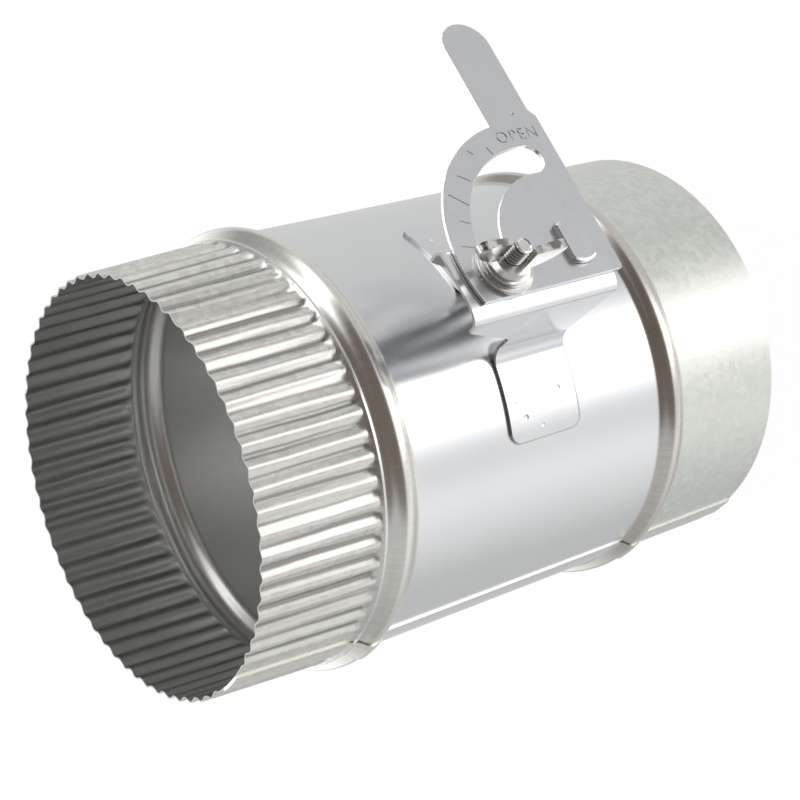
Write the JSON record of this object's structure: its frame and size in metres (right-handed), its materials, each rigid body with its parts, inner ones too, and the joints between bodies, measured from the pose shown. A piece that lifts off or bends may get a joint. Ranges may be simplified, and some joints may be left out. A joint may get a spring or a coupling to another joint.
{
  "type": "manual duct damper",
  "caption": "Round sheet-metal duct sleeve with a crimped end, a turning blade and an outside quadrant handle that a wing nut locks.",
  "frame": {"origin": "centre of the plain end's rim", "axes": "+Z along the duct from the plain end to the crimped end; -Y is the side of the bracket and lock bolt; +X is where the handle points with the blade closed"},
  "size_m": [0.1693, 0.2111, 0.235],
  "materials": {
    "galvanised_sheet": "spangled galvanised, semi-gloss",
    "bright_zinc_sheet": "bright galvanised",
    "zinc_lever": "satin zinc",
    "zinc_hardware": "bright zinc plate"
  },
  "bodies": {
    "duct": {"duct_sleeve": "galvanised_sheet", "handle_bracket": "bright_zinc_sheet", "lock_bolt": "zinc_hardware", "flat_washer": "zinc_hardware"},
    "damper": {"quadrant_lever": "zinc_lever", "control_shaft": "zinc_lever", "idle_pin": "zinc_lever", "damper_blade": "galvanised_sheet", "drive_rivet_inner": "zinc_hardware", "drive_rivet_outer": "zinc_hardware", "idle_rivet": "zinc_hardware", "push_ring": "zinc_hardware"},
    "clamp": {"lock_washer": "zinc_hardware"},
    "nut": {"wing_nut": "zinc_hardware"}
  },
  "joints": [
    {"name": "damper_turn", "type": "hinge", "parent": "duct", "child": "damper", "pos_m": [0, 0, 0.1134], "axis": [0, -1, 0], "range_deg": [0, 90]},
    {"name": "clamp_lift", "type": "slide", "parent": "duct", "child": "clamp", "axis": [0, -1, 0], "range_m": [0, 0.00254]},
    {"name": "wing_nut_turn", "type": "hinge", "parent": "clamp", "child": "nut", "pos_m": [-0.00307, 0, 0.1464], "axis": [0, -1, 0], "range_deg": [0, 720]}
  ],
  "couplings": [
    {"joint": "clamp_lift", "follows": "wing_nut_turn", "m_per_rad": 0.00020213}
  ]
}
